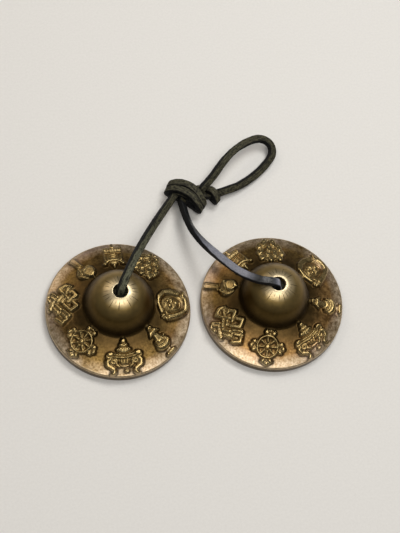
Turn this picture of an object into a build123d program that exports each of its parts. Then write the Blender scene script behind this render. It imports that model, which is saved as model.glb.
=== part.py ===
"""A pair of tingsha: two cast brass cymbals tied to the ends of one leather thong.

Millimetres, +Z up. The origin lies on the table, midway between the two cymbals, with +X running
from the left cymbal's axis to the right one's. The thong's centre knot and hanging loop lie on the
table behind the cymbals.
"""

import os
from math import atan, cos, degrees, radians, sin, tan

from build123d import *

# Cymbal
RIM_RADIUS = 32.5
RIM_HEIGHT = 4.0
RIM_BEVEL = 0.5
LIP_WIDTH = 2.4
FLANGE_RISE = 6.5
FLANGE_WALL = 3.4
DOME_RADIUS = 15.5
DOME_SINK = 1.0
DOME_WALL = 3.0
BORE_RADIUS = 3.15
BORE_BEVEL = 0.6
CENTRE_DISTANCE = 69.8

# Emblems: height above the flange, depth of the roots, distance from the rim, turn of each casting
RELIEF = 1.2
ROOT = 1.0
EMBLEM_REACH = 8.7
LEFT_PHASE = -91.1
RIGHT_PHASE = -56.7

# Leather thong
STRAP_WIDTH = 3.4
STRAP_THICKNESS = 2.6
BEND_SHARE = 0.45

# Stop knot under each crown
STOP_LENGTH = 8.8
STOP_HEIGHT = 6.4
STOP_TURN = 75.0
TAIL_LENGTH = 4.5
SEAT_GAP = 0.3

# Centre knot: a pair of wrapped bands, and one smaller wrap round the loop's lower limb
KNOT_X = 0.8
KNOT_Y = 55.6
KNOT_TURN = 60.0
KNOT_LENGTH = 19.8
KNOT_HEIGHT = 10.4
BAND_GROOVE = 0.4
GROOVE_DEPTH = 0.8
WRAP_X = 14.0
WRAP_Y = 55.9
WRAP_TURN = 20.0
WRAP_LENGTH = 8.6
WRAP_HEIGHT = 7.8
BRIDGE_SHIFT = 6.0

# Places that the pieces share
FLANGE_TOP = RIM_HEIGHT + FLANGE_RISE
DOME_CENTRE = FLANGE_TOP - DOME_SINK
INNER_RADIUS = DOME_RADIUS - DOME_WALL
DOME_EDGE = (DOME_RADIUS**2 - DOME_SINK**2) ** 0.5
SLOPE = FLANGE_RISE / (RIM_RADIUS - DOME_EDGE)
SLANT = (1 + SLOPE**2) ** 0.5
CROWN = DOME_CENTRE + (DOME_RADIUS**2 - BORE_RADIUS**2) ** 0.5
CEILING = DOME_CENTRE + (INNER_RADIUS**2 - (STOP_LENGTH / 2) ** 2) ** 0.5
CENTRE_X = CENTRE_DISTANCE / 2
EMBLEM_MIDDLE = RIM_RADIUS - EMBLEM_REACH
BAND_FACE = STRAP_WIDTH + BAND_GROOVE / 2

# Thong routes, chosen by hand: bore, leg and knot; each bend is spread over several points
LEFT_LEG = [
    (-CENTRE_X, 0, CEILING),
    (-CENTRE_X, 0, CROWN - 0.4),
    (-33.95, 2.0, CROWN + 1.8),
    (-32.5, 5.1, CROWN + 2.2),
    (-31.0, 8.2, CROWN + 1.7),
    (-27.6, 15.7, 24.2),
    (-20.5, 29.5, 17.7),
    (-12.4, 43.5, 10.9),
    (-8.0, 50.6, 7.5),
    (-5.5, 54.6, 6.2),
]
RIGHT_LEG = [
    (CENTRE_X, 0, CEILING),
    (CENTRE_X, 0, CROWN - 0.4),
    (32.7, 0.1, CROWN + 1.8),
    (29.3, 0.4, CROWN + 2.4),
    (25.9, 1.1, CROWN + 2.2),
    (19.0, 5.6, 24.6),
    (11.9, 15.6, 19.0),
    (5.8, 25.7, 13.0),
    (1.4, 35.0, 8.8),
    (-1.0, 43.6, 6.7),
    (-2.0, 51.7, 5.6),
]
LOOP_MIDDLE = [
    (12.4, 61.6, 7.8),
    (18.6, 70.0, 8.9),
    (24.9, 76.8, 8.6),
    (32.3, 82.0, 7.0),
    (38.6, 84.6, 5.4),
    (43.6, 82.4, 4.0),
    (44.5, 77.2, 3.1),
    (41.2, 72.4, 2.5),
    (34.6, 66.0, 2.3),
    (26.5, 60.6, 2.8),
    (20.8, 58.4, 3.5),
]
LOOP_START_SHIFT = 4.8
LOOP_START_HEIGHT = 7.0
LOOP_CLEARANCE = 0.5


def unit(turn):
    """The level direction that lies turn degrees from +X towards +Y."""
    return Vector(cos(radians(turn)), sin(radians(turn)), 0)


def flange_height(radius):
    """The height of the flange's upper face at a distance from the axis."""
    return FLANGE_TOP - SLOPE * (radius - DOME_EDGE)


def corner(sketch, x, y):
    """The corner of a flat outline that lies nearest to a point."""
    return sketch.vertices().sort_by_distance((x, y, 0))[0]


def outline(*points):
    """A flat shape with these corners, kept where they are and listed against the clock."""
    return Polygon(*points, align=None)


def symmetric(*right):
    """A shape that is the same on both sides, from its right-hand corners, top to bottom."""
    left = [(-x, y) for x, y in right if x]
    return outline(*left, *reversed(right))


def parasol():
    """A tiered finial over a roof with upturned ends, with a curled leg on each side of a drape."""
    finial = [(0, 8), (1.3, 6.4), (1.2, 5.3), (2.5, 4.4), (2.3, 3.4), (3.9, 2.4), (3.7, 1.1)]
    roof = [(5.2, 2.1), (7.4, 2.2), (8.2, 0.8), (7.2, -0.9), (4.4, -0.8)]
    drape = [(3.6, -3.6), (1.9, -5.3), (0, -3.9)]
    leg = outline((3.6, -4.8), (4.7, -7.9), (6.6, -7.6), (5.7, -5.1), (7.8, -3.6), (7.6, -0.6), (5.4, -0.6))
    legs = leg + mirror(leg, Plane.YZ)
    return symmetric(*finial, *roof, *drape) + legs


def wheel():
    """An eight-spoked wheel with a pointed cluster on each side."""
    rim = RegularPolygon(5.3, 16) - RegularPolygon(4.2, 16)
    spokes = [Rot(0, 0, 45 * step) * Rectangle(8.8, 0.9) for step in range(4)]
    cluster = symmetric((0, 8.2), (2.9, 6.6), (2.6, 4.3))
    return rim + spokes + RegularPolygon(1.5, 8) + [Rot(0, 0, 90 * step) * cluster for step in range(4)]


def endless_knot():
    """A lozenge woven of three strands each way."""
    rows = [Rot(0, 0, 40) * Pos(0, 4 * step) * Rectangle(10.6, 2.2) for step in (-1, 0, 1)]
    return Pos(0, -0.7) * (rows[0] + rows[1:] + [mirror(row, Plane.YZ) for row in rows])


def conch():
    """A round shell that narrows to a straight tail."""
    return symmetric((1.3, 6.6), (3.1, 5.2), (3.8, 2.4), (3.1, 0), (1.6, -2.4), (1.2, -7.9))


def banner():
    """A pleated banner that hangs from a canopy with a knob on each end."""
    canopy = [(0, 6.4), (1.6, 4.7), (3, 3.5), (4.4, 5.1), (5.4, 3.9), (3.9, 1.8)]
    return symmetric(*canopy, (3.9, -2.8), (4.4, -2.8), (4.4, -5.4), (1, -5.4), (1, -7.8))


def lotus():
    """A fan of pointed petals on a short stem."""
    petals = [
        Rot(0, 0, turn) * symmetric((0, length), (1.9, 0.62 * length), (0, 0))
        for turn, length in ((-44, 9.2), (-22, 13.4), (0, 14.2), (22, 13.4), (44, 9.2))
    ]
    return Pos(0.3, -7.6) * (petals[0] + petals[1:])


def fish():
    """Two fish nose to tail as a ring, round a swirl and a drop."""
    left = [(-2.2, 6.6), (-5.2, 5.4), (-8.4, 5.2), (-8.2, 4), (-6.6, 2.8), (-6.8, -1.6), (-3, -6.9)]
    right = [(4, -7), (6.6, -7.6), (7.6, -6.4), (6.6, -4.4), (7.4, -0.6), (6.4, 4.4), (2.8, 6.6)]
    hole = [(-2, 4), (-4.2, 2.2), (-4.2, -1.4), (-2, -4.3), (3, -4.3), (4.6, -1.4), (4.4, 1.6), (2.2, 4)]
    ring = outline(*left, *right) - outline(*hole)
    return ring + Pos(-0.4, 1.3) * RegularPolygon(2.3, 8) + Pos(0.1, -2.6) * RegularPolygon(1.5, 6)


def vase():
    """A lidded jar with a bud on top, a flared collar, a round belly and a foot."""
    lid = [(0, 8.1), (1.4, 6.8), (1.1, 5.3), (2.2, 5), (3.8, 2.4), (1.4, 3), (1.4, 1)]
    return symmetric(*lid, (3.4, 0.3), (4.5, -2.2), (3.4, -4.7), (1.7, -5.4), (2.6, -8))


# Places round the flange, in degrees from the parasol's direction
EMBLEMS = [
    (3, parasol),
    (-46, wheel),
    (-92, endless_knot),
    (-140, conch),
    (-177, banner),
    (-217, lotus),
    (-270, fish),
    (-314, vase),
]


def relief():
    """The eight emblems, upright towards the dome: flat-topped shapes that rise from the sloping flange."""
    emblems = []
    for place, draw in EMBLEMS:
        middle = Rot(0, 0, place) * Pos(EMBLEM_MIDDLE, 0, flange_height(EMBLEM_MIDDLE))
        top = middle * Rot(0, degrees(atan(SLOPE)), 0) * Pos(0, 0, RELIEF) * Rot(0, 0, 90)
        emblems.append(extrude(top * draw(), -RELIEF - ROOT))
    return emblems


def cymbal():
    """One cymbal: a coned flange with a lipped rim and a bored, countersunk dome, turned about its own axis."""
    under = FLANGE_WALL * SLANT
    lip_edge = RIM_RADIUS - LIP_WIDTH
    half = Pos(RIM_RADIUS / 2, RIM_RADIUS / 2) * Rectangle(RIM_RADIUS, RIM_RADIUS)
    flange = [(RIM_RADIUS, 0), (RIM_RADIUS, RIM_HEIGHT), (DOME_EDGE, FLANGE_TOP)]
    dome = Pos(0, DOME_CENTRE) * Circle(DOME_RADIUS)
    outside = outline((0, 0), *flange, (0, FLANGE_TOP)) + dome
    lip = [(lip_edge, 0), (lip_edge, flange_height(lip_edge) - under)]
    wall = [(INNER_RADIUS, flange_height(INNER_RADIUS) - under), (INNER_RADIUS, DOME_CENTRE)]
    hollow = Pos(0, DOME_CENTRE) * Circle(INNER_RADIUS)
    inside = outline((0, 0), *lip, *wall, (0, DOME_CENTRE)) + hollow
    throat = [(BORE_RADIUS, 0), (BORE_RADIUS, CROWN - BORE_BEVEL)]
    sink_top = CROWN + BORE_BEVEL
    bore = outline((0, 0), *throat, (BORE_RADIUS + 2 * BORE_BEVEL, sink_top), (0, sink_top))
    profile = (outside & half) - inside - bore
    profile = chamfer(corner(profile, RIM_RADIUS, RIM_HEIGHT), RIM_BEVEL)
    return revolve(Plane.XZ * profile, Axis.Z) + relief()


def bend_radii(points):
    """The largest arc that each corner's two runs leave room for."""
    radii = []
    for before, here, after in zip(points, points[1:], points[2:]):
        run_in = Vector(here) - Vector(before)
        run_out = Vector(after) - Vector(here)
        half_turn = radians(run_in.get_angle(run_out)) / 2
        radii.append(BEND_SHARE * min(run_in.length, run_out.length) / tan(half_turn))
    return radii


def thong(name, points, side):
    """A stretch of thong: its flat section swept along straight runs and tangent arcs."""
    radii = bend_radii(points)
    path = FilletPolyline(*points, radius=radii)
    start = Plane(origin=points[0], x_dir=side, z_dir=path % 0)
    stretch = sweep(start * Rectangle(STRAP_WIDTH, STRAP_THICKNESS), path=path)
    due = STRAP_WIDTH * STRAP_THICKNESS * path.length
    print(f"{name}: length {path.length:.1f}, volume {stretch.volume:.0f} of {due:.0f}, radii", end=" ")
    print(" ".join(f"{radius:.1f}" for radius in radii))
    return stretch


def wrap(centre, turn, length, height, width):
    """A band wound round the strands: a level stadium, seen along its axis."""
    place = Plane(origin=centre, x_dir=unit(turn - 90), z_dir=unit(turn))
    return extrude(place * SlotOverall(length, height), width / 2, both=True)


def stop_knot(x):
    """The knot that holds a cymbal on: two turns side by side, with a stem up to the bore and a cut tail."""
    middle = Vector(x, 0, CEILING - SEAT_GAP - STOP_HEIGHT / 2)
    tail_end = middle.Z - STOP_HEIGHT / 2 - TAIL_LENGTH
    stem = Pos(x, 0, (CEILING + tail_end) / 2) * Box(STRAP_WIDTH, STRAP_THICKNESS, CEILING - tail_end)
    return wrap(middle, STOP_TURN, STOP_LENGTH, STOP_HEIGHT, 2 * STRAP_WIDTH) + stem


def centre_knot():
    """The overhand knot: two bands side by side on the strands inside, and the smaller wrap."""
    middle = Vector(KNOT_X, KNOT_Y, KNOT_HEIGHT / 2)
    step = unit(KNOT_TURN) * ((STRAP_WIDTH + BAND_GROOVE) / 2)
    core = (KNOT_LENGTH - 2 * GROOVE_DEPTH, KNOT_HEIGHT - 2 * GROOVE_DEPTH)
    strands = wrap(middle, KNOT_TURN, *core, STRAP_WIDTH)
    bands = [wrap(middle + step * way, KNOT_TURN, KNOT_LENGTH, KNOT_HEIGHT, STRAP_WIDTH) for way in (-1, 1)]
    side = Vector(WRAP_X, WRAP_Y, WRAP_HEIGHT / 2)
    lower = wrap(side, WRAP_TURN, WRAP_LENGTH, WRAP_HEIGHT, STRAP_WIDTH)
    root = middle + unit(KNOT_TURN) * STRAP_WIDTH + unit(KNOT_TURN - 90) * BRIDGE_SHIFT
    root.Z = side.Z
    bridge = Plane(origin=root, x_dir=(0, 0, 1), z_dir=side - root) * Rectangle(STRAP_THICKNESS, STRAP_WIDTH)
    return strands + bands + lower + extrude(bridge, (side - root).length)


def loop_route():
    """The hanging loop, from the bands' far face round to the smaller wrap's outer face."""
    start = Vector(KNOT_X, KNOT_Y, LOOP_START_HEIGHT) + unit(KNOT_TURN) * (BAND_FACE + LOOP_CLEARANCE)
    start += unit(KNOT_TURN - 90) * LOOP_START_SHIFT
    end = Vector(WRAP_X, WRAP_Y, WRAP_HEIGHT / 2) + unit(WRAP_TURN) * (STRAP_WIDTH / 2)
    return [tuple(start), *LOOP_MIDDLE, tuple(end)]


os.makedirs("parts", exist_ok=True)
casting = cymbal()
for side, place, phase in (("left", -CENTRE_X, LEFT_PHASE), ("right", CENTRE_X, RIGHT_PHASE)):
    export_step(Pos(place, 0, 0) * Rot(0, 0, phase) * casting, f"parts/cymbal_{side}.step")
    export_step(stop_knot(place), f"parts/strap_stop_knot_{side}.step")
export_step(thong("left leg", LEFT_LEG, (1, 0, 0)), "parts/strap_left_leg.step")
export_step(thong("right leg", RIGHT_LEG, (0, 1, 0)), "parts/strap_right_leg.step")
export_step(thong("loop", loop_route(), (0, 0, 1)), "parts/strap_loop.step")
export_step(centre_knot(), "parts/strap_centre_knot.step")
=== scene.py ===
"""The looks of a pair of tingsha: two cast brass cymbals, each with eight raised emblems, on one knotted
leather thong.

Lengths in the tables are millimetres in the part's frame, and the meshes are in metres.
"""

import math

import bpy
import numpy as np
from mathutils import Matrix, Vector


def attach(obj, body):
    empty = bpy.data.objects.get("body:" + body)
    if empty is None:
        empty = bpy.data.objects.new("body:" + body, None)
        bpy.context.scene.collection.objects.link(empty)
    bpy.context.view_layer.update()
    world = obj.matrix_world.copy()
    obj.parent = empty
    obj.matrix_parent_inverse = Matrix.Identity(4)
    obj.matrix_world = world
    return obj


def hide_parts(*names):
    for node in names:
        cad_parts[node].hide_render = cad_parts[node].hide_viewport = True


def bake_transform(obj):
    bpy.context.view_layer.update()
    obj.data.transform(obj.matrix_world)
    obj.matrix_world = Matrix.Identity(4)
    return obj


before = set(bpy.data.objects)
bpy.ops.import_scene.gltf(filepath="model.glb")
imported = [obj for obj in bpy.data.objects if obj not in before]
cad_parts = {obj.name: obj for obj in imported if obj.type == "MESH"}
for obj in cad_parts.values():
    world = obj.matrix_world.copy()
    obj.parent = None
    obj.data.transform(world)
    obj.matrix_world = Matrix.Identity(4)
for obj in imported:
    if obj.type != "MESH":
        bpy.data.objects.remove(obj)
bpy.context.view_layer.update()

MM = 0.001

# The two cymbals: the place of the axis along X, the turn of the emblems and a seed for the unevenness
CENTRE_X = 34.9
CYMBALS = (("left", -CENTRE_X, -91.1, 1), ("right", CENTRE_X, -56.7, 2))

# Flange, rim and lip
RIM_RADIUS = 32.5
RIM_HEIGHT = 4.0
RIM_ROUND = 0.6
RIM_SHOULDER = 0.7
LIP_WIDTH = 2.4
LIP_TOP = 1.28
LIP_ROUND = 0.25
FLANGE_TOP = 10.5
FLANGE_START = 16.6
UNDER_TOP = 7.99

# Dome and bore
DOME_CENTRE = 9.5
DOME_RADIUS = 15.5
DOME_EDGE = 15.468
DOME_FOOT = (15.357, 11.6)
DOME_FOOT_TURN = 7.8
INNER_DOME = 12.5
INNER_DOME_TURN = 75.4
BORE_RADIUS = 3.15
BORE_FOOT = 21.6
BORE_TOP = 24.0
CROWN_BEND = 24.66
CROWN_EDGE = (3.75, 24.54)
SLOPE = (FLANGE_TOP - RIM_HEIGHT) / (RIM_RADIUS - DOME_EDGE)

# Fineness of the cymbals' meshes
SEGMENTS = 600
FLANGE_ROWS = 100
ROW_STEP = 0.166

# Relief
EMBLEM_MIDDLE = 23.5
EMBLEM_HALF_TURN = 0.55
RELIEF_SCALE = 1.15
RELIEF_END = RIM_RADIUS - 0.3
RELIEF_FADE = 0.8
SKIRT_HEIGHT = 0.6
SKIRT_SPREAD = 10
SKIRT_GAIN = 1.25
SKIRT_DROP = 0.15
LINE = 0.02
GAP_DEPTH = 0.5
GAP_WIDTH = 0.22
CASTING_WAVE = 0.05
WAVE_START = 16

# Marks on the brass: where each begins and where it is full
# Grime and painted shade in the recesses round the relief
RECESS_GAIN = 2.4
RECESS_SPREAD = 9
PROUD_HEIGHTS = (0.3, 1.25)
# Painted shade on the relief's steep walls
WALL_SLOPES = (0.6, 2.4)
DOME_LOWEST = 10
# The dome's painted shade at the foot and painted highlight at the crown run over these heights
DOME_LEVELS = (10.5, 24.5)
# The painted highlight on the rim's upper edge: its middle as radius and height, and its reach
RIM_HIGHLIGHT_AT = (32.2, 4.1)
RIM_HIGHLIGHT_REACH = 0.8
# Painted shade on the rim wall and underside begins this many rows past the flange
UNDER_ROWS_PAST_RIM = 2
TICK_COUNT = 23
TICK_SHARPNESS = (0.88, 0.96)
TICK_START = (4.6, 5.2)
TICK_END = 7.6
TICK_UNEVENNESS = 1.3
TICK_FADE = 0.8

# Thong
WIDTH = 3.4
THICKNESS = 2.6
CORNER = 0.42
CORNER_POINTS = 4
RING_POINTS = 72
GRAIN_SHIFT = 40
SWELLS = ((0.03, 0.9, 1), (0.02, 2.3, 2))

# Camera, solved from the two rims and the two crown holes in the photograph
CAMERA_TARGET = (3.8, 19.2, 4.0)
CAMERA_DISTANCE = 649
CAMERA_AZIMUTH = -17.3
CAMERA_ELEVATION = 64.5
CAMERA_ROLL = 13.2
SENSOR_HEIGHT = 36
LENS = 96.1
NEAREST_SEEN_M = 0.01

# Floor and light: each lamp's place, width and depth in metres, power in watts and colour
FLOOR_HALF = 4000
SKY_COLOUR = (0.95, 0.97, 1.0, 1)
SKY_STRENGTH = 0.14
LAMP_AIM_M = Vector((0.005, 0.03, 0))
LAMPS = (
    ("crown", (0.28, 0.32, 0.72), (0.46, 0.3), 3.3, (1.0, 0.98, 0.94)),
    ("rim", (0.0, -0.22, 0.8), (0.75, 0.26), 2.9, (1.0, 0.96, 0.9)),
    ("side", (-0.38, 0.57, 0.58), (0.5, 0.3), 1.0, (1.0, 0.87, 0.72)),
)


# Meshes
def mesh_object(name, points, faces, smooth=True):
    """A mesh object from points in millimetres. smooth is for its four-sided faces, and others are flat."""
    mesh = bpy.data.meshes.new(name)
    mesh.from_pydata((np.asarray(points) * MM).tolist(), [], faces)
    mesh.polygons.foreach_set("use_smooth", [smooth and len(face) == 4 for face in faces])
    mesh.update()
    thing = bpy.data.objects.new(name, mesh)
    bpy.context.scene.collection.objects.link(thing)
    return thing


def grid_faces(rows, columns, first=0, close_rows=False):
    """The four-sided faces of a grid whose columns close on themselves."""
    row = np.arange(rows if close_rows else rows - 1)[:, None]
    column = np.arange(columns)[None, :]
    here = row % rows * columns
    beyond = (row + 1) % rows * columns
    right = (column + 1) % columns
    quads = np.stack((here + column, here + right, beyond + right, beyond + column), axis=-1)
    return quads.reshape(-1, 4) + first


def float_attribute(thing, name, values):
    attribute = thing.data.attributes.new(name, "FLOAT", "POINT")
    attribute.data.foreach_set("value", np.ascontiguousarray(values, np.float32).ravel())


def vector_attribute(thing, name, values):
    attribute = thing.data.attributes.new(name, "FLOAT_VECTOR", "POINT")
    attribute.data.foreach_set("vector", np.ascontiguousarray(values, np.float32).ravel())


# Relief drawing: p is the places across and up, and a distance is negative inside its shape
def flat(p):
    return np.zeros_like(p[0])


def disc(p, x, y, radius):
    return np.hypot(p[0] - x, p[1] - y) - radius


def oval(p, x, y, wide, tall):
    return (np.hypot((p[0] - x) / wide, (p[1] - y) / tall) - 1) * min(wide, tall)


def bar(p, start, end, thick, thin=None):
    """A round-ended bar, from its half-width at the start to its half-width at the end."""
    thin = thick if thin is None else thin
    dx, dy = end[0] - start[0], end[1] - start[1]
    along = ((p[0] - start[0]) * dx + (p[1] - start[1]) * dy) / (dx * dx + dy * dy)
    along = np.clip(along, 0, 1)
    away = np.hypot(p[0] - start[0] - along * dx, p[1] - start[1] - along * dy)
    return away - thick - (thin - thick) * along


def stroke(p, points, thick, thin=None):
    """A bent bar through a few points, tapering from its first to its last."""
    thin = thick if thin is None else thin
    widths = np.linspace(thick, thin, len(points))
    pieces = zip(points, points[1:], widths, widths[1:])
    return np.minimum.reduce([bar(p, a, b, wa, wb) for a, b, wa, wb in pieces])


def raised(height, distance, top, shoulder=0.6):
    """The height with a shape of that top laid over it, its edge rounded over the shoulder."""
    inward = np.clip(-distance / shoulder, 0, 1)
    return np.maximum(height, top * np.sqrt(1 - (1 - inward) ** 2))


def cut(height, distance, depth, width):
    """The height with a groove of about twice that width cut into it."""
    return np.maximum(height - depth * np.exp(-((np.maximum(distance, 0) / width) ** 2)), 0)


def laid(height, distance, top, shoulder=0.6):
    """A shape laid on what is already drawn, with a dark line round it where it lies on other shapes."""
    return raised(cut(height, distance, GAP_DEPTH, GAP_WIDTH), distance, top, shoulder)


def turned(p, degrees):
    c, s = math.cos(math.radians(degrees)), math.sin(math.radians(degrees))
    return p[0] * c + p[1] * s, p[1] * c - p[0] * s


# The eight emblems, each drawn upright with the dome above it, about a point EMBLEM_MIDDLE from the axis
def parasol(p):
    h = laid(flat(p), bar(p, (0, -0.9), (0, -3.2), 3.6, 2.0), 0.5, 0.4)
    for x in (-1.4, 0, 1.4):
        h = laid(h, bar(p, (x, -1.6), (x * 0.9, -3.4), 0.5), 0.8, 0.4)
    swag = [(4.3, -0.9), (3.3, -2.1), (3.7, -3.5), (2.3, -4.6)]
    leg = [(6.4, -0.7), (7.4, -2.0), (7.3, -3.7), (5.9, -4.6), (4.7, -5.5), (4.7, -6.6), (5.8, -7.7)]
    for way in (-1, 1):
        h = laid(h, stroke(p, [(x * way, y) for x, y in swag], 0.6), 1.05, 0.5)
        h = laid(h, disc(p, 4.9 * way, -2.4, 1.25), 1.05, 0.6)
        h = cut(h, disc(p, 4.9 * way, -2.4, 0.15), 0.5, 0.3)
        h = laid(h, stroke(p, [(x * way, y) for x, y in leg], 1.1, 0.95), 1.2, 0.7)
    h = laid(h, disc(p, 0.8, -6.3, 1.05), 1.1, 0.6)
    h = cut(h, disc(p, 0.8, -6.2, 0.15), 0.5, 0.28)
    roof = [(-7.0, 0.2), (-5.2, 0.4), (-3, 0), (0, -0.4), (3, 0), (5.2, 0.5), (7.1, 0.4)]
    h = laid(h, stroke(p, roof, 1.05), 1.25, 0.5)
    h = cut(h, stroke(p, [(x, y - 0.1) for x, y in roof[1:-1]], LINE), 0.6, 0.2)
    h = laid(h, oval(p, -5.9, 0.9, 1.7, 1.05), 1.4, 0.6)
    h = laid(h, oval(p, 6.2, 1.0, 1.9, 1.15), 1.45, 0.6)
    h = laid(h, oval(p, 0, 2.3, 3.6, 1.7), 1.4, 0.9)
    for x in (-2.2, -1.1, 0, 1.1, 2.2):
        h = cut(h, bar(p, (x, 2.6), (x * 1.3, 0.9), LINE), 0.3, 0.2)
    h = laid(h, oval(p, 0, 4.3, 2.3, 1.2), 1.55, 0.8)
    h = laid(h, disc(p, 0, 5.9, 1.3), 1.65, 0.8)
    return raised(h, bar(p, (0, 6.6), (0, 7.9), 0.75, 0.2), 1.3, 0.5)


def wheel(p):
    radius = np.hypot(*p)
    h = flat(p)
    for degrees, top in ((90, 1.2), (184, 1.25), (270, 1.2), (-4, 1.45)):
        q = turned(p, degrees)
        h = raised(h, bar(q, (-1.3, 5.2), (1.3, 5.2), 0.8), top - 0.2)
        for x, y, size in ((-1.5, 6.0, 1.25), (1.5, 6.0, 1.25), (0, 7.0, 1.15)):
            h = laid(h, disc(q, x, y, size), top, 0.7)
        h = cut(h, bar(q, (0, 5.2), (0, 6.4), LINE), 0.3, 0.2)
    h = laid(h, radius - 5.0, 0.25, 0.3)
    h = raised(h, np.abs(radius - 4.55) - 0.55, 1.25, 0.45)
    for step in range(8):
        h = raised(h, bar(turned(p, 45 * step + 4), (0, 0.8), (0, 4.3), 0.45), 1.0, 0.4)
    return laid(h, radius - 1.35, 1.45, 0.8)


KNOT_LOOPS = (
    ((-8.4, 2.6), (-9.5, 0.4), (-8.2, -2.4), (-3.2, 1.3)),
    ((-7.9, 1.6), (-6.3, 0.9)),
    ((-5.9, 2.1), (-6.2, 3.3), (-4.1, 5.0), (-1.3, 1.2)),
    ((-1.1, 3.6), (0.9, 5.3), (2.8, 2.4), (-0.6, -0.5)),
    ((3.6, -3.0), (2.1, -0.9), (5.0, 1.9), (8.0, -1.2), (5.8, -3.9)),
    ((4.0, -0.9), (5.5, 0.3)),
    ((-0.9, -6.3), (-2.7, -4.7), (-1.6, -3.9), (1.0, -5.6), (1.3, -6.6), (-0.9, -6.3)),
    ((-3.5, -2.7), (-6.0, -5.5), (-4.6, -7.0), (-3.0, -7.0)),
    ((-4.6, -5.8), (-3.4, -4.5)),
    ((-4.4, -1.3), (-1.8, -3.5)),
    ((-0.7, -4.0), (1.4, -2.2)),
    ((0.9, -4.7), (2.7, -3.4)),
    ((-2.9, -0.4), (-1.7, -1.5)),
)


def endless_knot(p):
    """Open loops round a small diamond, each laid over the next."""
    q = turned((p[0] + 1.3, (p[1] + 0.9) * 1.1), 45)
    h = raised(flat(p), np.maximum(np.abs(q[0]), np.abs(q[1])) - 5.3, 0.22, 0.4)
    h = raised(h, oval(p, 5.8, -2.4, 2.1, 1.7), 0.8, 0.8)
    for points in KNOT_LOOPS:
        h = raised(h, stroke(p, points, 1.4), 0.8, 0.6)
    for points in KNOT_LOOPS:
        h = laid(h, stroke(p, points, 1.0), 1.35, 0.6)
    return h


def conch(p):
    h = raised(flat(p), bar(p, (0, -1.0), (0.1, -7.6), 1.7, 1.3), 0.75, 0.5)
    for x in (-0.95, 1.0):
        h = laid(h, bar(p, (x * 0.8, -2.0), (x * 1.15, -7.6), 0.4), 1.0, 0.4)
    h = laid(h, oval(p, 0.2, 2.3, 4.3, 3.8), 1.45, 1.3)
    turns = np.radians(np.linspace(-35, 70, 8))
    for radius in (3.6, 4.4, 5.2):
        rib = [(-1.0 + radius * math.cos(turn), 1.6 + radius * math.sin(turn)) for turn in turns]
        h = cut(h, stroke(p, rib, LINE), 0.55, 0.22)
    h = laid(h, oval(p, -0.9, 3.4, 3.0, 3.2), 1.75, 1.0)
    h = raised(h, bar(p, (-0.8, 5.2), (-0.6, 7.0), 1.5, 0.35), 1.5, 0.7)
    h = cut(h, stroke(p, [(-3.6, 2.2), (-1.1, 1.2), (1.4, 2.4)], LINE), 0.3, 0.25)
    h = cut(h, oval(p, -0.3, -0.7, 1.6, 0.5), 0.9, 0.3)
    return raised(h, disc(p, 1.7, -0.5, 0.75), 1.35, 0.5)


def banner(p):
    half = 3.6
    h = raised(flat(p), np.maximum(np.abs(p[0]) - half, np.abs(p[1] + 0.7) - 3.0), 0.7, 0.4)
    for x in (-2.6, -1.4, 1.4, 2.6):
        h = cut(h, bar(p, (x, 1.6), (x * 1.05, -3.2), 0.05), 0.6, 0.22)
    for y in (0.9, -0.5, -1.8):
        h = laid(h, bar(p, (-1.0, y), (1.0, y), 0.35), 1.0, 0.35)
    for x in (-half, half):
        h = laid(h, bar(p, (x, 2.2), (x * 1.05, -3.4), 0.42), 1.05, 0.4)
    for x in np.linspace(-half, half, 7):
        h = laid(h, bar(p, (x * 0.95, -3.5), (x * 1.08, -5.5), 0.62), 1.2, 0.45)
    h = laid(h, bar(p, (-half, -3.4), (half, -3.4), 0.4), 1.25, 0.4)
    h = laid(h, bar(p, (0.1, -6.2), (0.1, -7.5), 1.0), 1.0, 0.5)
    canopy = [(-4.1, 3.7), (-3.2, 2.6), (-1.7, 1.9), (0, 1.7), (1.7, 1.9), (3.2, 2.7), (4.0, 3.9)]
    h = laid(h, stroke(p, canopy, 0.75), 1.35, 0.5)
    h = laid(h, disc(p, -4.0, 3.8, 1.0), 1.45, 0.6)
    h = laid(h, disc(p, 4.0, 4.0, 1.05), 1.45, 0.6)
    h = laid(h, oval(p, 0, 3.6, 1.9, 0.85), 1.35, 0.6)
    h = laid(h, oval(p, 0, 4.7, 1.1, 0.8), 1.5, 0.6)
    return raised(h, bar(p, (0, 5.2), (0, 6.5), 0.55, 0.2), 1.1, 0.4)


# Rows of petals from the top: the height of the row, half its width and the number of its petals
PETAL_ROWS = ((4.4, 3.5, 3), (1.7, 4.7, 4), (-1.5, 3.9, 3), (-4.4, 2.1, 2))


def lotus(p):
    """Pointed petals in rows, each row laid over the one above and each petal a little out of line."""
    h = raised(flat(p), bar(p, (0.9, -6.2), (0.2, 1.6), 1.6, 4.8), 0.95, 0.8)
    for row, (height, half, count) in enumerate(PETAL_ROWS):
        for step, even in enumerate(np.linspace(-half, half, count)):
            x = even + 0.35 * math.sin(7 * step + 3 * row) + 0.08 * (5.0 - height)
            y = height - 0.06 * x * x + 0.4 * math.sin(5 * step + row)
            q = turned((p[0] - x, p[1] - y), -5 * x)
            petal = np.maximum(disc(q, -1.5, 0, 3.35), disc(q, 1.5, 0, 3.35))
            h = laid(h, petal, 1.25 + 0.08 * row, 1.0)
            h = cut(h, bar(q, (0, -0.2), (0, 1.5), LINE), 0.25, 0.18)
    return h


FISH_BODIES = (
    ((-6.6, 3.4), (-3.4, 4.9), (-0.2, 6.0), (3.2, 5.4), (5.3, 3.4), (5.9, 0.4), (5.4, -2.8)),
    ((4.6, -5.4), (2.4, -6.4), (-0.4, -6.7), (-2.5, -6.1), (-4.0, -4.1), (-5.3, -1.5), (-6.3, 1.4)),
)


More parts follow.
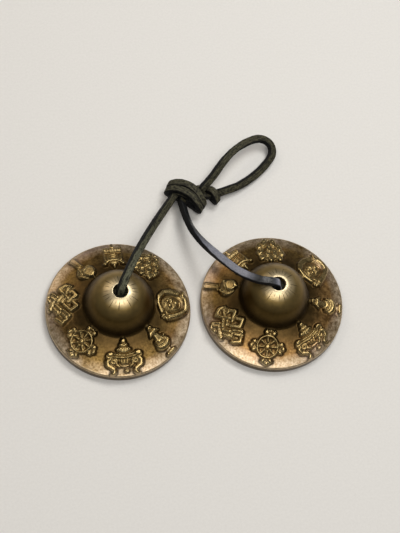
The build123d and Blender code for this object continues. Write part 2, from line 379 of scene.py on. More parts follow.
def fish(p):
    """Two fishes bent into a ring, round a boss."""
    h = raised(flat(p), oval(p, 0, -0.3, 6.4, 6.8), 0.8, 0.8)
    for body in FISH_BODIES:
        h = laid(h, stroke(p, body, 1.2, 1.55), 1.3, 0.9)
    h = laid(h, bar(p, (-5.6, 3.8), (-7.8, 2.6), 1.0, 0.5), 1.3, 0.5)
    h = laid(h, bar(p, (-5.6, 3.8), (-6.6, 5.2), 0.8, 0.35), 1.2, 0.5)
    h = laid(h, bar(p, (4.6, -5.2), (6.6, -5.6), 0.95, 0.5), 1.3, 0.5)
    h = cut(h, np.abs(oval(p, 0, 0.2, 3.7, 4.8)), 0.7, 0.4)
    h = laid(h, oval(p, 0.1, 0.2, 2.6, 3.7), 1.05, 0.9)
    for x, y, size in ((-0.9, 1.0, 1.2), (1.1, 2.0, 1.05), (0.5, -1.9, 1.4)):
        h = laid(h, disc(p, x, y, size), 1.35, 0.8)
    return h


def vase(p):
    h = laid(flat(p), bar(p, (0, -4.8), (0, -6.4), 1.3), 0.9, 0.5)
    h = laid(h, bar(p, (-1.7, -7.2), (1.8, -7.2), 1.0), 1.25, 0.6)
    h = laid(h, oval(p, 0, -2.2, 4.0, 3.3), 1.7, 1.9)
    band = [(-2.4, 0.3), (-1.2, -0.5), (0, -0.8), (1.2, -0.5), (2.4, 0.3)]
    h = laid(h, stroke(p, band, 0.7), 1.9, 0.7)
    groove = [(-3.8, -0.9), (-2.0, -2.2), (0, -2.7), (2.0, -2.2), (3.8, -0.9)]
    h = cut(h, stroke(p, groove, LINE), 0.4, 0.28)
    h = laid(h, bar(p, (0, 2.9), (0, 0.6), 1.2, 1.7), 1.2, 0.7)
    for way in (-1, 1):
        h = raised(h, bar(p, (1.0 * way, 4.2), (2.7 * way, 3.0), 1.2, 0.5), 1.35, 0.7)
    h = raised(h, oval(p, 0, 4.1, 2.3, 1.2), 1.45, 0.7)
    h = raised(h, bar(p, (0, 4.0), (0, 2.4), 1.3, 0.5), 1.4, 0.7)
    h = laid(h, disc(p, 0, 6.1, 1.4), 1.55, 0.8)
    return raised(h, bar(p, (0, 6.8), (0, 7.8), 0.75, 0.2), 1.2, 0.5)


# The emblems with their turns round the dome, in degrees
EMBLEMS = (
    (parasol, 3),
    (wheel, -46),
    (endless_knot, -92),
    (conch, -140),
    (banner, -177),
    (lotus, -217),
    (fish, -270),
    (vase, -314),
)


# Cymbal
def curve_points(start, bend, end, steps):
    """Points on the arc-like curve that leaves the start towards the bend and reaches the end from it."""
    t = np.linspace(0, 1, steps)[:, None]
    return (1 - t) ** 2 * np.array(start) + 2 * t * (1 - t) * np.array(bend) + t**2 * np.array(end)


def sphere_points(radius, first, last, steps):
    turn = np.radians(np.linspace(first, last, steps))
    return np.column_stack((radius * np.cos(turn), DOME_CENTRE + radius * np.sin(turn)))


def flange_point(radius):
    return radius, FLANGE_TOP - SLOPE * (radius - DOME_EDGE)


def cymbal_profile():
    """The closed outline of half a section, as radius and height, with the rows of it that carry the emblems.
    It runs from the bore's lower edge up, over the dome and the flange to the rim, and back underneath."""
    crown_turn = math.degrees(math.asin((CROWN_EDGE[1] - DOME_CENTRE) / DOME_RADIUS))
    flange_start = flange_point(FLANGE_START)
    flange_end = flange_point(RIM_RADIUS - RIM_ROUND)
    rim_top = (RIM_RADIUS, RIM_HEIGHT - RIM_SHOULDER)
    rim_foot = (RIM_RADIUS, RIM_ROUND)
    rim_rest = (RIM_RADIUS - RIM_ROUND, 0)
    lip_radius = RIM_RADIUS - LIP_WIDTH
    lip_rest = (lip_radius + LIP_ROUND, 0)
    lip_foot = (lip_radius, LIP_ROUND)
    lip_top = (lip_radius, LIP_TOP)
    under = (INNER_DOME, UNDER_TOP)
    upper = [
        np.linspace((BORE_RADIUS, BORE_FOOT), (BORE_RADIUS, BORE_TOP), 4)[:-1],
        curve_points((BORE_RADIUS, BORE_TOP), (BORE_RADIUS, CROWN_BEND), CROWN_EDGE, 5)[:-1],
        sphere_points(DOME_RADIUS, crown_turn, DOME_FOOT_TURN, 20)[:-1],
        curve_points(DOME_FOOT, (DOME_EDGE, FLANGE_TOP), flange_start, 5)[:-1],
    ]
    flange = np.linspace(flange_start, flange_end, FLANGE_ROWS)
    lower = [
        curve_points(flange_end, flange_point(RIM_RADIUS), rim_top, 5)[1:],
        np.linspace(rim_top, rim_foot, 4)[1:],
        curve_points(rim_foot, (RIM_RADIUS, 0), rim_rest, 4)[1:],
        np.linspace(rim_rest, lip_rest, 3)[1:],
        curve_points(lip_rest, (lip_radius, 0), lip_foot, 3)[1:],
        np.linspace(lip_foot, lip_top, 2)[1:],
        np.linspace(lip_top, under, 6)[1:],
        np.linspace(under, (INNER_DOME, DOME_CENTRE), 2)[1:],
        sphere_points(INNER_DOME, 0, INNER_DOME_TURN, 9)[1:-1],
    ]
    first = sum(len(part) for part in upper)
    return np.vstack(upper + [flange] + lower), slice(first, first + FLANGE_ROWS)


def share(values, low, high):
    """How far the values have come from low to high, as a share between 0 and 1."""
    return np.clip((values - low) / (high - low), 0, 1)


def softened(height, times):
    """The height spread out over its neighbours, round the ring and along the radius."""
    for _ in range(times):
        height = 0.5 * height + 0.25 * (np.roll(height, 1, axis=1) + np.roll(height, -1, axis=1))
        padded = np.vstack((height[:1], height, height[-1:]))
        height = 0.5 * height + 0.25 * (padded[:-2] + padded[2:])
    return height


def ripple(x, y, seed):
    """A smooth unevenness of about one either way, made from a few waves."""
    wave = np.zeros_like(x)
    for step in range(1, 7):
        turn = seed * 1.7 + step * 2.4
        run = 0.16 * step**0.7 * (x * math.cos(turn) + y * math.sin(turn))
        wave = wave + np.sin(run + seed * step * 1.3) / step**0.4
    return wave / 2.2


def emblem_relief(radius, angle, flange, phase):
    """The height of the emblems above the flange, with a low skirt round each and a fade at the rim."""
    relief = np.zeros_like(radius)
    patch = relief[flange]
    for emblem, place in EMBLEMS:
        off = (angle - math.radians(phase + place) + math.pi) % (2 * math.pi) - math.pi
        near = np.abs(off) < EMBLEM_HALF_TURN
        across = radius[flange][:, near] * np.sin(off[near])
        upright = EMBLEM_MIDDLE - radius[flange][:, near] * np.cos(off[near])
        patch[:, near] = np.maximum(patch[:, near], emblem((across, upright)))
    skirt = np.clip(SKIRT_GAIN * softened(relief, SKIRT_SPREAD) - SKIRT_DROP, 0, SKIRT_HEIGHT)
    return RELIEF_SCALE * np.maximum(relief, skirt) * share(radius, RELIEF_END, RELIEF_END - RELIEF_FADE)


def brass_marks(radius, level, cast, angle, flange, seed):
    """Where the brass is grimy, worn or scored at each point, and where shade and highlights are painted on
    it, by the names that its material reads.
    """
    row = np.arange(len(level))[:, None]
    above = (row < flange.start) & (level > DOME_LOWEST)
    outward = np.gradient(cast, axis=0) / ROW_STEP
    around = (np.roll(cast, -1, axis=1) - np.roll(cast, 1, axis=1)) * SEGMENTS / (4 * math.pi * radius)
    from_rim = np.hypot(radius - RIM_HIGHLIGHT_AT[0], level - RIM_HIGHLIGHT_AT[1])
    ticks = share(np.cos(TICK_COUNT * angle + 2 * np.sin(3 * angle + seed)), *TICK_SHARPNESS)
    tick_end = TICK_END + TICK_UNEVENNESS * np.sin(11 * angle + seed)
    ticks = ticks * share(radius, tick_end, tick_end - TICK_FADE) * share(radius, *TICK_START) * above
    return {
        "recess": np.clip(RECESS_GAIN * (softened(cast, RECESS_SPREAD) - cast), 0, 1),
        "proud": share(cast, *PROUD_HEIGHTS),
        "wall": share(np.hypot(outward, around), *WALL_SLOPES),
        "dome": np.where(above, share(level, *DOME_LEVELS), 0),
        "rim": share(from_rim, RIM_HIGHLIGHT_REACH, 0),
        "under": np.broadcast_to(row > flange.stop + UNDER_ROWS_PAST_RIM, level.shape),
        "reach": radius / RIM_RADIUS,
        "ticks": ticks,
    }


def cymbal(name, middle, phase, seed):
    """A cast cymbal, its emblems raised from the flange and its wear and painted light and shade kept as
    attributes for the brass.
    """
    profile, flange = cymbal_profile()
    angle = np.linspace(0, 2 * math.pi, SEGMENTS, endpoint=False)
    radius = np.repeat(profile[:, :1], SEGMENTS, axis=1)
    level = np.repeat(profile[:, 1:], SEGMENTS, axis=1)
    cast = softened(emblem_relief(radius, angle, flange, phase), 1)
    wave = ripple(radius * np.cos(angle), radius * np.sin(angle), seed)
    lift = cast + CASTING_WAVE * wave * ((radius > WAVE_START) & (level > RIM_HEIGHT))
    slant = math.atan(SLOPE)
    radius = radius + lift * math.sin(slant)
    level = level + lift * math.cos(slant)
    points = np.stack((middle + radius * np.cos(angle), radius * np.sin(angle), level), axis=-1)
    faces = grid_faces(*level.shape, close_rows=True)[:, ::-1]
    thing = mesh_object(name, points.reshape(-1, 3), faces.tolist())
    for mark, values in brass_marks(radius, level, cast, angle, flange, seed).items():
        float_attribute(thing, mark, values)
    return thing


# Strips of leather
def smooth_route(points):
    """Closely spaced points, in millimetres, on the smooth curve that the control points draw."""
    curve = bpy.data.curves.new("route", "CURVE")
    curve.dimensions = "3D"
    curve.resolution_u = 10
    spline = curve.splines.new("NURBS")
    spline.points.add(len(points) - 1)
    for control, place in zip(spline.points, points):
        control.co = (*place, 1)
    spline.order_u = 3
    spline.use_endpoint_u = True
    thing = bpy.data.objects.new("route", curve)
    mesh = bpy.data.meshes.new_from_object(thing)
    line = np.array([vertex.co for vertex in mesh.vertices])
    bpy.data.meshes.remove(mesh)
    bpy.data.objects.remove(thing)
    bpy.data.curves.remove(curve)
    return line


def unit_rows(rows):
    return rows / np.linalg.norm(rows, axis=1, keepdims=True)


def length_along(line):
    """How far along the line each of its points is."""
    return np.concatenate(([0], np.cumsum(np.linalg.norm(np.diff(line, axis=0), axis=1))))


def strap_outline():
    """The section of a strip, across and through it, with its edges rounded."""
    points = []
    for x, y, start in ((1, 1, 0), (-1, 1, 90), (-1, -1, 180), (1, -1, 270)):
        for turn in np.radians(np.linspace(start, start + 90, CORNER_POINTS)):
            across = x * (WIDTH / 2 - CORNER) + CORNER * math.cos(turn)
            through = y * (THICKNESS / 2 - CORNER) + CORNER * math.sin(turn)
            points.append((across, through))
    return np.array(points)


def strap_surface(line, tangent, facing, seed, suede):
    """The surface of a strip of leather along a line, with each point's place along, across and through it.
    facing is the way its broad face looks at each point, and suede says if that face is napped."""
    outline = strap_outline()
    along = length_along(line)
    swell = 1 + sum(size * np.sin(along * pace + start * seed) for size, pace, start in SWELLS)
    wide = outline[None, :, :1] * swell[:, None, None]
    thick = outline[None, :, 1:] * (2 - swell)[:, None, None]
    side = np.cross(tangent, facing)
    points = line[:, None] + side[:, None] * wide + facing[:, None] * thick
    spread = np.broadcast_to(outline[None], (len(line), *outline.shape))
    ahead = np.broadcast_to(along[:, None, None] + GRAIN_SHIFT * seed, (*spread.shape[:2], 1))
    return points, np.concatenate((ahead, spread * (1, 1 if suede else -1)), axis=-1)


def facing_rows(directions, tangent):
    """Unit directions square to the tangents, as near as they can be to the given ones."""
    return unit_rows(directions - (directions * tangent).sum(1, keepdims=True) * tangent)


def open_strip(line, faces, seed, suede=True):
    """A strip along an open line whose broad face turns through the given directions."""
    tangent = unit_rows(np.gradient(line, axis=0))
    along = length_along(line)
    marks = np.linspace(0, along[-1], len(faces))
    turning = np.column_stack([np.interp(along, marks, part) for part in zip(*faces)])
    return *strap_surface(line, tangent, facing_rows(turning, tangent), seed, suede), False


def level_direction(turn):
    return np.array((math.cos(math.radians(turn)), math.sin(math.radians(turn)), 0))


def ring_strip(middle, turn, half_length, half_height, seed, lean=0.0, bow=0.0):
    """A strip wound once round strands that run in the direction of turn, its ends bowed back."""
    angle = np.linspace(0, 2 * math.pi, RING_POINTS, endpoint=False)
    out = np.cos(angle)[:, None] * half_length
    rise = np.sin(angle)[:, None] * half_height
    along, side, up = level_direction(turn), level_direction(turn - 90), np.array((0, 0, 1))
    shift = lean * np.cos(angle) - bow * np.cos(angle) ** 2
    line = np.array(middle) + out * side + rise * up + shift[:, None] * along
    outward = out / half_length**2 * side + rise / half_height**2 * up
    tangent = unit_rows(np.roll(line, -1, 0) - np.roll(line, 1, 0))
    return *strap_surface(line, tangent, facing_rows(outward, tangent), seed, True), True


def strap_piece(name, strips):
    """One mesh of several strips. A strip is its points, its grain and whether it closes on itself."""
    points, faces, grains, first = [], [], [], 0
    for grid, grain, closed in strips:
        rows, columns = grid.shape[:2]
        last = first + rows * columns
        points.append(grid.reshape(-1, 3))
        grains.append(grain.reshape(-1, 3))
        faces.extend(grid_faces(rows, columns, first, close_rows=closed).tolist())
        if not closed:
            faces.append(list(range(first + columns - 1, first - 1, -1)))
            faces.append(list(range(last - columns, last)))
        first = last
    thing = mesh_object(name, np.vstack(points), faces)
    vector_attribute(thing, "grain", np.vstack(grains))
    return thing


# Routes of the thong, with the ways that its broad face looks from one end of each to the other
LEFT_LEG = [
    (-34.9, 0, 21.2),
    (-34.9, 0, 24.3),
    (-33.95, 2.0, 26.5),
    (-32.5, 5.1, 26.9),
    (-31.0, 8.2, 26.4),
    (-27.6, 15.7, 24.2),
    (-20.5, 29.5, 17.7),
    (-12.4, 43.5, 10.9),
    (-8.0, 50.6, 7.5),
    (-5.5, 54.6, 6.2),
]
LEFT_LEG_FACES = [
    (0, -1, 0.2),
    (0.2, -0.5, 0.8),
    (0.6, -0.1, 0.75),
    (0.75, -0.1, 0.6),
    (0.75, -0.1, 0.6),
    (0.7, 0, 0.7),
    (0.5, 0, 0.8),
]
RIGHT_LEG = [
    (34.9, 0, 21.2),
    (34.9, 0, 24.3),
    (32.7, 0.1, 26.5),
    (29.3, 0.4, 27.1),
    (25.9, 1.1, 26.9),
    (19.0, 5.6, 24.6),
    (11.9, 15.6, 19.0),
    (5.8, 25.7, 13.0),
    (1.4, 35.0, 8.8),
    (-1.0, 43.6, 6.7),
    (-2.0, 51.7, 5.6),
]
RIGHT_LEG_FACES = [
    (1, 0, 0.2),
    (0.2, -0.1, 1),
    (-0.1, -0.2, 1),
    (0.1, -0.1, 1),
    (0.5, 0, 0.85),
    (0.8, 0, 0.6),
    (0.7, 0, 0.7),
]
LOOP = [
    (7.0, 56.75, 7.0),
    (12.4, 61.6, 7.8),
    (18.6, 70.0, 8.9),
    (24.9, 76.8, 8.6),
    (32.3, 82.0, 7.0),
    (38.6, 84.6, 5.4),
    (43.6, 82.4, 4.0),
    (44.5, 77.2, 3.1),
    (41.2, 72.4, 2.5),
    (34.6, 66.0, 2.3),
    (26.5, 60.6, 2.8),
    (20.8, 58.4, 3.5),
    (15.6, 56.5, 3.9),
]
LOOP_FACES = [
    (0.6, -0.45, 0.66),
    (0.5, -0.5, 0.75),
    (0.3, -0.3, 0.9),
    (0.3, 0.1, 0.9),
    (0.5, 0, 0.85),
    (0.5, -0.3, 0.8),
    (0.4, -0.55, 0.75),
    (0.35, -0.6, 0.72),
    (0.35, -0.6, 0.72),
]

# Centre knot: each turn's place along the bundle, half its length and height, seed, lean and bow
KNOT = np.array((0.8, 55.6, 5.2))
KNOT_TURN = 60.0
KNOT_RINGS = (
    (-1.0, 8.7, 4.0, 4, -0.8, 2.2),
    (2.7, 9.0, 4.0, 5, -1.0, 3.0),
    (-1.4, 6.0, 1.5, 12, 0.3, 0.0),
    (1.4, 5.8, 1.5, 13, -0.3, 0.0),
)
WRAP = np.array((13.3, 55.8, 3.9))
WRAP_TURN = 46.0
WRAP_RING = (3.1, 2.7, 6, -0.5, 0.8)
LEFT_IN_KNOT = [(-5.6, 54.4, 6.25), (-3.6, 57.0, 6.0), (2.6, 57.4, 6.4), (7.6, 57.3, 7.1)]
RIGHT_IN_KNOT = [
    (-2.0, 51.5, 5.65),
    (-1.6, 54.6, 5.0),
    (2.6, 56.2, 4.2),
    (7.7, 55.5, 3.9),
    (14.0, 55.9, 3.9),
    (16.0, 56.65, 3.9),
]


def centre_knot():
    """Two turns of the thong round the strands, the turns inside them, a wrap at the loop and the strands."""
    along = level_direction(KNOT_TURN)
    strips = [ring_strip(KNOT + shift * along, KNOT_TURN, *turn) for shift, *turn in KNOT_RINGS]
    strips.append(ring_strip(WRAP, WRAP_TURN, *WRAP_RING))
    strips.append(open_strip(smooth_route(LEFT_IN_KNOT), [(0.4, 0, 0.9)], 7))
    strips.append(open_strip(smooth_route(RIGHT_IN_KNOT), [(0.5, 0, 0.8)], 8))
    return strap_piece("centre_knot_strap", strips)


# Stop knots, with the stem's places from the axis
STOP_TURN = 75.0
STOP_LEVEL = 17.7
STOP_SPREAD = 1.6
STOP_HALF_LENGTH = 3.1
STOP_HALF_HEIGHT = 1.9
STOP_LEAN = 0.3
STOP_STEM = ((0, 0, 22.0), (0, 0, 18.0), (0, 0, 14.0), (0.2, 0.2, 10.0))


def stop_knot(name, x, seed):
    """The knot under a crown: the thong wound twice round itself, with a cut tail."""
    middle = np.array((x, 0, STOP_LEVEL))
    spread = STOP_SPREAD * level_direction(STOP_TURN)
    half = (STOP_HALF_LENGTH, STOP_HALF_HEIGHT)
    stem = [(x + across, back, level) for across, back, level in STOP_STEM]
    strips = [
        ring_strip(middle - spread, STOP_TURN, *half, 9 + seed, STOP_LEAN),
        ring_strip(middle + spread, STOP_TURN, *half, 10 + seed, STOP_LEAN),
        open_strip(smooth_route(stem), [(0, 1, 0)], 11 + seed),
    ]
    return strap_piece(name, strips)


# Materials
class Nodes:
    """A short way to write a material's nodes."""

    def __init__(self, name):
        self.material = bpy.data.materials.new(name)
        self.material.use_nodes = True
        self.tree = self.material.node_tree
        self.shader = self.tree.nodes["Principled BSDF"]

    def put(self, socket, value):
        if isinstance(value, bpy.types.NodeSocket):
            self.tree.links.new(value, socket)
        else:
            socket.default_value = value

    def attribute(self, name, output="Fac"):
        node = self.tree.nodes.new("ShaderNodeAttribute")
        node.attribute_name = name
        return node.outputs[output]

    def place(self):
        """The place on the piece, which stays the same when a pose moves it."""
        return self.tree.nodes.new("ShaderNodeTexCoord").outputs["Object"]

    def parts(self, vector):
        node = self.tree.nodes.new("ShaderNodeSeparateXYZ")
        self.tree.links.new(vector, node.inputs[0])
        return node.outputs

    def noise(self, scale, detail, roughness, vector=None):
        node = self.tree.nodes.new("ShaderNodeTexNoise")
        self.tree.links.new(self.place() if vector is None else vector, node.inputs["Vector"])
        node.inputs["Scale"].default_value = scale
        node.inputs["Detail"].default_value = detail
        node.inputs["Roughness"].default_value = roughness
        return node.outputs["Fac"]

    def stretched(self, vector, factors):
        node = self.tree.nodes.new("ShaderNodeVectorMath")
        node.operation = "MULTIPLY"
        self.tree.links.new(vector, node.inputs[0])
        node.inputs[1].default_value = factors
        return node.outputs[0]

    def math(self, operation, a, b=0.0, clamp=False):
        node = self.tree.nodes.new("ShaderNodeMath")
        node.operation = operation
        node.use_clamp = clamp
        self.put(node.inputs[0], a)
        self.put(node.inputs[1], b)
        return node.outputs[0]

    def times(self, a, b, clamp=False):
        return self.math("MULTIPLY", a, b, clamp)

    def plus(self, a, b, clamp=False):
        return self.math("ADD", a, b, clamp)

    def between(self, value, low, high, first=0.0, last=1.0):
        """The value's run from low to high, turned into a run from first to last."""
        node = self.tree.nodes.new("ShaderNodeMapRange")
        self.put(node.inputs["Value"], value)
        for socket, number in zip(("From Min", "From Max", "To Min", "To Max"), (low, high, first, last)):
            node.inputs[socket].default_value = number
        return node.outputs["Result"]

    def mix(self, share, first, second):
        node = self.tree.nodes.new("ShaderNodeMix")
        node.data_type = "RGBA"
        self.put(node.inputs[0], share)
        for socket, colour in ((node.inputs[6], first), (node.inputs[7], second)):
            self.put(socket, colour if isinstance(colour, bpy.types.NodeSocket) else (*colour, 1))
        return node.outputs[2]

    def bump(self, height, distance, strength):
        node = self.tree.nodes.new("ShaderNodeBump")
        node.inputs["Distance"].default_value = distance
        node.inputs["Strength"].default_value = strength
        self.tree.links.new(height, node.inputs["Height"])
        self.tree.links.new(node.outputs["Normal"], self.shader.inputs["Normal"])


# Colours of the brass, as a pair of dark and light where it is mottled
OLD_BRASS = ((0.08, 0.047, 0.013), (0.27, 0.17, 0.055))
COPPERY_BRASS = ((0.16, 0.083, 0.026), (0.43, 0.25, 0.095))
# Painted sheen: paler brass near the rim
PAINTED_SHEEN_BRASS = ((0.32, 0.22, 0.12), (0.68, 0.55, 0.39))
RAISED_BRASS = ((0.27, 0.185, 0.072), (0.48, 0.365, 0.16))
# Painted shade on the dome: dark at its foot, lighter higher up
DOME_BRASS_WITH_PAINTED_SHADE = ((0.04, 0.0245, 0.008), (0.145, 0.09, 0.025))
# A rosy tint in the painted sheen near the rim
PAINTED_ROSY_SHEEN = (0.42, 0.3, 0.26)
# Painted light on the upper dome
UPPER_DOME_PAINTED_LIGHT = (0.42, 0.295, 0.11)
# Painted highlight round the crown hole
CROWN_PAINTED_HIGHLIGHT = (0.62, 0.52, 0.34)
# Painted highlight on the rim's edge
RIM_PAINTED_HIGHLIGHT = (0.62, 0.48, 0.3)
# Grime in the recesses, with painted shade there and by the dome
GRIME_AND_PAINTED_SHADE = (0.055, 0.034, 0.012)
# Painted shade on the relief's steep walls
RELIEF_WALL_PAINTED_SHADE = (0.05, 0.031, 0.011)
CROWN_TICKS = (0.03, 0.019, 0.007)
# Painted shade on the rim wall and underside
UNDERSIDE_PAINTED_SHADE = (0.05, 0.034, 0.016)


def brass():
    n = Nodes("cymbal_brass")
    patches = n.noise(55, 3, 0.5)
    mottle = n.noise(420, 5, 0.6)
    specks = n.noise(1100, 3, 0.6)
    fine = n.noise(2600, 3, 0.5)
    recess = n.attribute("recess")
    proud = n.attribute("proud")
    dome = n.attribute("dome")
    reach = n.attribute("reach")
    uneven = n.plus(n.times(mottle, 0.45), n.times(specks, 0.55))

    # Flange: old and coppery patches, with a painted sheen towards the rim and painted shade by the dome
    blotch = n.between(uneven, 0.38, 0.62)
    old = n.mix(blotch, *OLD_BRASS)
    coppery = n.mix(blotch, *COPPERY_BRASS)
    colour = n.mix(n.times(n.between(patches, 0.44, 0.6), 0.85), old, coppery)
    painted_sheen_colour = n.mix(n.between(uneven, 0.4, 0.6), *PAINTED_SHEEN_BRASS)
    painted_sheen_colour = n.mix(n.between(patches, 0.56, 0.68, 0.0, 0.6), painted_sheen_colour, PAINTED_ROSY_SHEEN)
    # Painted sheen in a band near the rim, broken up by the patches
    painted_sheen = n.times(n.between(reach, 0.82, 0.95), n.between(patches, 0.3, 0.5), clamp=True)
    colour = n.mix(painted_sheen, colour, painted_sheen_colour)
    # Painted shade on the flange towards the dome
    colour = n.mix(n.between(reach, 0.82, 0.58, 0.0, 0.94), colour, GRIME_AND_PAINTED_SHADE)

    # Dome: painted shade at its foot, painted light higher up and a painted highlight at the crown
    shaded_dome_colour = n.mix(n.between(dome, 0.22, 0.8), *DOME_BRASS_WITH_PAINTED_SHADE)
    on_dome = n.between(dome, 0.0, 0.03)
    colour = n.mix(on_dome, colour, shaded_dome_colour)
    colour = n.mix(n.between(dome, 0.6, 0.9, 0.0, 0.9), colour, UPPER_DOME_PAINTED_LIGHT)
    colour = n.mix(n.between(dome, 0.86, 1.0, 0.0, 0.9), colour, CROWN_PAINTED_HIGHLIGHT)

    # Relief, rim and underside
    raised_colour = n.mix(n.between(uneven, 0.36, 0.64), *RAISED_BRASS)
    colour = n.mix(n.times(proud, 0.85), colour, raised_colour)
    # Painted shade on the relief's steep walls
    colour = n.mix(n.times(n.attribute("wall"), 0.35), colour, RELIEF_WALL_PAINTED_SHADE)
    # Painted highlight on the rim's edge
    colour = n.mix(n.times(n.attribute("rim"), 0.9, clamp=True), colour, RIM_PAINTED_HIGHLIGHT)
    # Grime and painted shade in the recesses
    colour = n.mix(n.times(recess, 0.72, clamp=True), colour, GRIME_AND_PAINTED_SHADE)
    colour = n.mix(n.attribute("ticks"), colour, CROWN_TICKS)
    # Painted shade on the rim wall and underside
    colour = n.mix(n.times(n.attribute("under"), 0.8), colour, UNDERSIDE_PAINTED_SHADE)

    # Duller in the recesses and at the dome's foot
    rough = n.math("SUBTRACT", n.between(mottle, 0.3, 0.7, 0.3, 0.44), n.times(proud, 0.1))
    rough = n.plus(rough, n.times(on_dome, n.between(dome, 0.1, 0.6, 0.24, 0.0)))
    n.put(n.shader.inputs["Base Color"], colour)
    n.put(n.shader.inputs["Metallic"], 1.0)
    n.put(n.shader.inputs["Roughness"], n.plus(rough, n.times(recess, 0.25), clamp=True))
    n.bump(n.plus(n.times(mottle, 0.7), n.times(fine, 0.15)), distance=0.00014, strength=0.6)
    return n.material


# Colours of the leather, as a pair of dark and light where it is grained
SMOOTH_LEATHER = ((0.006, 0.0065, 0.007), (0.016, 0.017, 0.019))
NAPPED_LEATHER = ((0.005, 0.0044, 0.0026), (0.085, 0.079, 0.046))
# Painted sheen on the smooth face of the right leg
PAINTED_LEG_SHEEN = (0.24, 0.25, 0.3)
FADED = (0.06, 0.055, 0.033)
# Lighter nap where the leather lies higher
LIGHTER_HIGH_NAP = (0.13, 0.132, 0.086)
NAP_BORDER = (0.007, 0.0065, 0.005)
CUT_EDGE = (0.005, 0.005, 0.005)


def leather():
    n = Nodes("strap_leather")
    grain = n.attribute("grain", "Vector")
    through = n.parts(grain)["Z"]
    across = n.math("ABSOLUTE", n.parts(grain)["Y"])
    height = n.parts(n.place())["Z"]
    sideways = n.parts(n.place())["X"]
    fibres = n.noise(1.0, 4, 0.6, n.stretched(grain, (0.32, 1.5, 1.5)))
    pores = n.noise(1.0, 3, 0.6, n.stretched(grain, (1.0, 1.7, 1.7)))
    broad = n.noise(1.0, 2, 0.5, n.stretched(grain, (0.12, 0.3, 0.3)))
    suede = n.between(through, 0.75, 1.25)
    edge = n.between(across, 1.4, 1.6)

    # Smooth face, with a painted grey sheen along the arch of the right leg
    smooth = n.mix(n.between(fibres, 0.3, 0.7), *SMOOTH_LEATHER)
    leg_sheen = n.times(n.between(height, 0.0105, 0.0165), n.between(height, 0.0279, 0.0264))
    leg_sheen = n.times(leg_sheen, n.between(sideways, -0.004, 0.0))
    leg_sheen = n.times(leg_sheen, n.between(through, -0.8, -1.15))
    leg_sheen = n.times(leg_sheen, n.between(pores, 0.3, 0.6, 0.55, 1.0), clamp=True)
    smooth = n.mix(leg_sheen, smooth, PAINTED_LEG_SHEEN)

    # Napped face, lighter where it lies higher
    nap = n.plus(n.times(fibres, 0.5), n.times(pores, 0.5))
    napped = n.mix(n.between(nap, 0.43, 0.6), *NAPPED_LEATHER)
    napped = n.mix(n.between(broad, 0.5, 0.75, 0.0, 0.35), napped, FADED)
    higher_nap = n.times(n.between(height, 0.008, 0.026), n.between(nap, 0.4, 0.6), clamp=True)
    napped = n.mix(higher_nap, napped, LIGHTER_HIGH_NAP)
    napped = n.mix(n.between(across, 1.1, 1.6, 0.0, 0.8), napped, NAP_BORDER)
    n.put(n.shader.inputs["Base Color"], n.mix(n.times(edge, 0.8), n.mix(suede, smooth, napped), CUT_EDGE))

    # Dull on the nap and the cut edges, waxed on the smooth face
    dull = n.between(pores, 0.3, 0.7, 0.62, 0.78)
    waxed = n.between(pores, 0.3, 0.7, 0.26, 0.42)
    dullness = n.times(n.math("MAXIMUM", suede, edge), n.math("SUBTRACT", dull, waxed))
    n.put(n.shader.inputs["Roughness"], n.plus(waxed, dullness))
    gloss = n.times(n.between(suede, 0, 1, 0.5, 0.22), n.between(edge, 0, 1, 1.0, 0.3))
    n.put(n.shader.inputs["Specular IOR Level"], gloss)
    n.bump(n.plus(n.times(fibres, 0.6), n.times(pores, 0.4)), distance=0.0003, strength=0.6)
    return n.material


PAPER = ((0.76, 0.75, 0.73), (0.8, 0.79, 0.77))


def paper():
    n = Nodes("floor_paper")
    speckle = n.noise(900, 3, 0.6)
    n.put(n.shader.inputs["Base Color"], n.mix(n.between(speckle, 0.3, 0.7), *PAPER))
    n.put(n.shader.inputs["Roughness"], 0.9)
    n.put(n.shader.inputs["Specular IOR Level"], 0.1)
    return n.material


# Stage
def place_camera():
    """The photograph's camera."""
    turns = (CAMERA_AZIMUTH, CAMERA_ELEVATION, CAMERA_ROLL)
    azimuth, elevation, roll = (math.radians(turn) for turn in turns)
    back = Vector(
        (
            math.sin(azimuth) * math.cos(elevation),
            -math.cos(azimuth) * math.cos(elevation),
            math.sin(elevation),
        )
    )
    right = Vector((0, 0, 1)).cross(back).normalized()
    up = back.cross(right)
    across = right * math.cos(roll) + up * math.sin(roll)
    upright = up * math.cos(roll) - right * math.sin(roll)
    data = bpy.data.cameras.new("camera")
    data.sensor_fit = "VERTICAL"
    data.sensor_height = SENSOR_HEIGHT
    data.lens = LENS
    data.clip_start = NEAREST_SEEN_M
    camera = bpy.data.objects.new("camera", data)
    axes = Matrix((across, upright, back)).transposed().to_4x4()
    place = Vector(CAMERA_TARGET) * MM + back * CAMERA_DISTANCE * MM
    camera.matrix_world = Matrix.Translation(place) @ axes
    bpy.context.scene.collection.objects.link(camera)
    bpy.context.scene.camera = camera


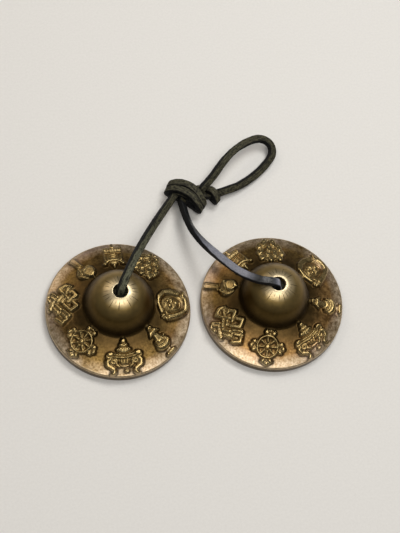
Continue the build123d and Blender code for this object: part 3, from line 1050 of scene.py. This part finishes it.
def lay_floor():
    corners = [(x * FLOOR_HALF, y * FLOOR_HALF, 0) for x, y in ((-1, -1), (1, -1), (1, 1), (-1, 1))]
    floor = mesh_object("floor", corners, [(0, 1, 2, 3)], smooth=False)
    floor.data.materials.append(paper())


def light_stage():
    world = bpy.data.worlds.new("studio")
    world.use_nodes = True
    sky = world.node_tree.nodes["Background"]
    sky.inputs["Color"].default_value = SKY_COLOUR
    sky.inputs["Strength"].default_value = SKY_STRENGTH
    bpy.context.scene.world = world
    for name, place, (wide, deep), power, colour in LAMPS:
        data = bpy.data.lights.new(name, "AREA")
        data.shape = "RECTANGLE"
        data.size = wide
        data.size_y = deep
        data.energy = power
        data.color = colour
        lamp = bpy.data.objects.new(name, data)
        lamp.location = place
        lamp.rotation_euler = (LAMP_AIM_M - Vector(place)).to_track_quat("-Z", "Y").to_euler()
        bpy.context.scene.collection.objects.link(lamp)


place_camera()
bpy.context.scene.view_settings.view_transform = "Standard"
lay_floor()
light_stage()

# Cymbals with the stop knots under their crowns
brass_material = brass()
leather_material = leather()
for side, x, phase, seed in CYMBALS:
    plate = cymbal(f"{side}_cymbal_brass", x, phase, seed)
    plate.data.materials.append(brass_material)
    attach(plate, f"{side}_cymbal")
    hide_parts(f"cymbal_{side}")
    stop = stop_knot(f"{side}_stop_knot_strap", x, seed)
    stop.data.materials.append(leather_material)
    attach(stop, f"{side}_tie")
    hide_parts(f"strap_stop_knot_{side}")

# Legs, loop and centre knot of the thong
left_line, right_line, loop_line = (smooth_route(route) for route in (LEFT_LEG, RIGHT_LEG, LOOP))
left_leg = strap_piece("left_leg_strap", [open_strip(left_line, LEFT_LEG_FACES, 1)])
right_leg = strap_piece("right_leg_strap", [open_strip(right_line, RIGHT_LEG_FACES, 2, suede=False)])
loop = strap_piece("loop_strap", [open_strip(loop_line, LOOP_FACES, 3)])
knot = centre_knot()
for piece, node in (
    (left_leg, "strap_left_leg"),
    (right_leg, "strap_right_leg"),
    (loop, "strap_loop"),
    (knot, "strap_centre_knot"),
):
    piece.data.materials.append(leather_material)
    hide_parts(node)
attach(loop, "strap")
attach(knot, "strap")
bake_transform(left_leg)
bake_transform(right_leg)
